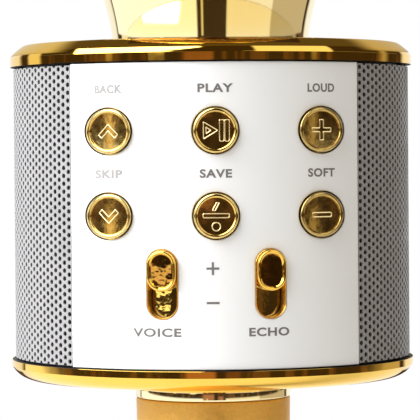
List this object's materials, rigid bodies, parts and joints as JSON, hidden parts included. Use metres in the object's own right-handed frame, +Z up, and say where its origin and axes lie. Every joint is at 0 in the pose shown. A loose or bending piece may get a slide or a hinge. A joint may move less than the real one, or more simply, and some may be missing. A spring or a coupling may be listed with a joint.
{
  "type": "karaoke microphone",
  "caption": "Cordless karaoke microphone: ball grille on a flared neck, drum speaker body with a curved control panel, battery handle.",
  "frame": {"origin": "centre of the handle's flat end, on which the microphone stands upright", "axes": "+Z up along the microphone's axis to the ball grille, -Y out of the control panel, +X to the right of someone facing the panel"},
  "size_m": [0.08, 0.0804, 0.246],
  "materials": {
    "gold_mirror": "polished",
    "gold_button": "polished",
    "gold_satin": "satin",
    "gold_mesh": "satin",
    "silver_grille": "satin",
    "white_plastic": "satin",
    "black_plastic": "satin",
    "speaker_cloth": "matte",
    "speaker_cone": "matte",
    "foam": "matte",
    "rubber": "matte",
    "circuit_board": "satin",
    "steel": "satin",
    "capsule_metal": "satin",
    "magnet": "satin",
    "battery_wrap": "satin",
    "clear_lens": "gloss",
    "red_wire": "satin",
    "black_wire": "satin",
    "ribbon": "satin"
  },
  "bodies": {
    "housing": {"end_cap": "gold_mirror", "end_ring": "gold_mirror", "handle_tube": "gold_satin", "handle_socket": "gold_mirror", "battery_cell": "battery_wrap", "battery_sleeve": "foam", "lower_ring": "gold_mirror", "upper_ring": "gold_mirror", "side_grille_right": "silver_grille", "side_grille_left": "silver_grille", "grille_cloth_right": "speaker_cloth", "grille_cloth_left": "speaker_cloth", "front_panel": "white_plastic", "back_panel": "white_plastic", "slider_bezel_mic_volume": "gold_mirror", "slider_bezel_echo": "gold_mirror", "slide_pot_mic_volume": "steel", "slide_pot_echo": "steel", "control_board": "circuit_board", "board_screw_1": "steel", "board_screw_2": "steel", "board_screw_3": "steel", "board_screw_4": "steel", "inner_frame": "black_plastic", "driver_basket_right": "steel", "driver_basket_left": "steel", "driver_magnet_right": "magnet", "driver_magnet_left": "magnet", "rear_board": "circuit_board", "charge_socket": "steel", "card_socket": "steel", "audio_jack": "black_plastic", "power_switch": "steel", "status_lens": "clear_lens", "neck": "gold_mirror", "capsule_post": "black_plastic", "capsule_cradle": "rubber", "microphone_capsule": "capsule_metal", "battery_lead": "red_wire", "microphone_lead": "black_wire", "speaker_lead_right": "red_wire", "speaker_lead_left": "black_wire", "board_ribbon": "ribbon"},
    "previous_button": {"button_previous": "gold_button"},
    "play_button": {"button_play": "gold_button"},
    "volume_up_button": {"button_volume_up": "gold_button"},
    "next_button": {"button_next": "gold_button"},
    "record_button": {"button_record": "gold_button"},
    "volume_down_button": {"button_volume_down": "gold_button"},
    "mic_volume_knob": {"slider_knob_mic_volume": "gold_button"},
    "echo_knob": {"slider_knob_echo": "gold_button"},
    "power_slider": {"power_knob": "black_plastic"},
    "right_cone": {"driver_cone_right": "speaker_cone"},
    "left_cone": {"driver_cone_left": "speaker_cone"},
    "windscreen": {"foam_windscreen": "foam"},
    "head": {"head_collar": "gold_mirror", "grille_lower": "gold_mesh", "grille_band": "gold_mirror", "grille_dome": "gold_mesh"}
  },
  "joints": [
    {"name": "previous_press", "type": "slide", "parent": "housing", "child": "previous_button", "axis": [0, 1, 0], "range_m": [0, 0.0006], "stiffness_N_per_m": 800, "springref_m": -0.0005},
    {"name": "play_press", "type": "slide", "parent": "housing", "child": "play_button", "axis": [0, 1, 0], "range_m": [0, 0.0006], "stiffness_N_per_m": 800, "springref_m": -0.0005},
    {"name": "volume_up_press", "type": "slide", "parent": "housing", "child": "volume_up_button", "axis": [0, 1, 0], "range_m": [0, 0.0006], "stiffness_N_per_m": 800, "springref_m": -0.0005},
    {"name": "next_press", "type": "slide", "parent": "housing", "child": "next_button", "axis": [0, 1, 0], "range_m": [0, 0.0006], "stiffness_N_per_m": 800, "springref_m": -0.0005},
    {"name": "record_press", "type": "slide", "parent": "housing", "child": "record_button", "axis": [0, 1, 0], "range_m": [0, 0.0006], "stiffness_N_per_m": 800, "springref_m": -0.0005},
    {"name": "volume_down_press", "type": "slide", "parent": "housing", "child": "volume_down_button", "axis": [0, 1, 0], "range_m": [0, 0.0006], "stiffness_N_per_m": 800, "springref_m": -0.0005},
    {"name": "mic_volume_slide", "type": "slide", "parent": "housing", "child": "mic_volume_knob", "axis": [0, 0, 1], "range_m": [-0.005, 0]},
    {"name": "echo_slide", "type": "slide", "parent": "housing", "child": "echo_knob", "axis": [0, 0, 1], "range_m": [-0.005, 0]},
    {"name": "power_slide", "type": "slide", "parent": "housing", "child": "power_slider", "axis": [0, 0, 1], "range_m": [0, 0.0024]},
    {"name": "right_cone_stroke", "type": "slide", "parent": "housing", "child": "right_cone", "axis": [1, 0, 0], "range_m": [-0.0005, 0.0005], "stiffness_N_per_m": 1500},
    {"name": "left_cone_stroke", "type": "slide", "parent": "housing", "child": "left_cone", "axis": [-1, 0, 0], "range_m": [-0.0005, 0.0005], "stiffness_N_per_m": 1500},
    {"name": "head_lift", "type": "slide", "parent": "housing", "child": "windscreen", "axis": [0, 0, 1], "range_m": [0, 0.006]},
    {"name": "head_turn", "type": "hinge", "parent": "windscreen", "child": "head", "pos_m": [0, 0, 0], "axis": [0, 0, 1], "range_deg": [0, 1080]}
  ],
  "couplings": [
    {"joint": "head_lift", "follows": "head_turn", "m_per_rad": 0.00031831}
  ]
}
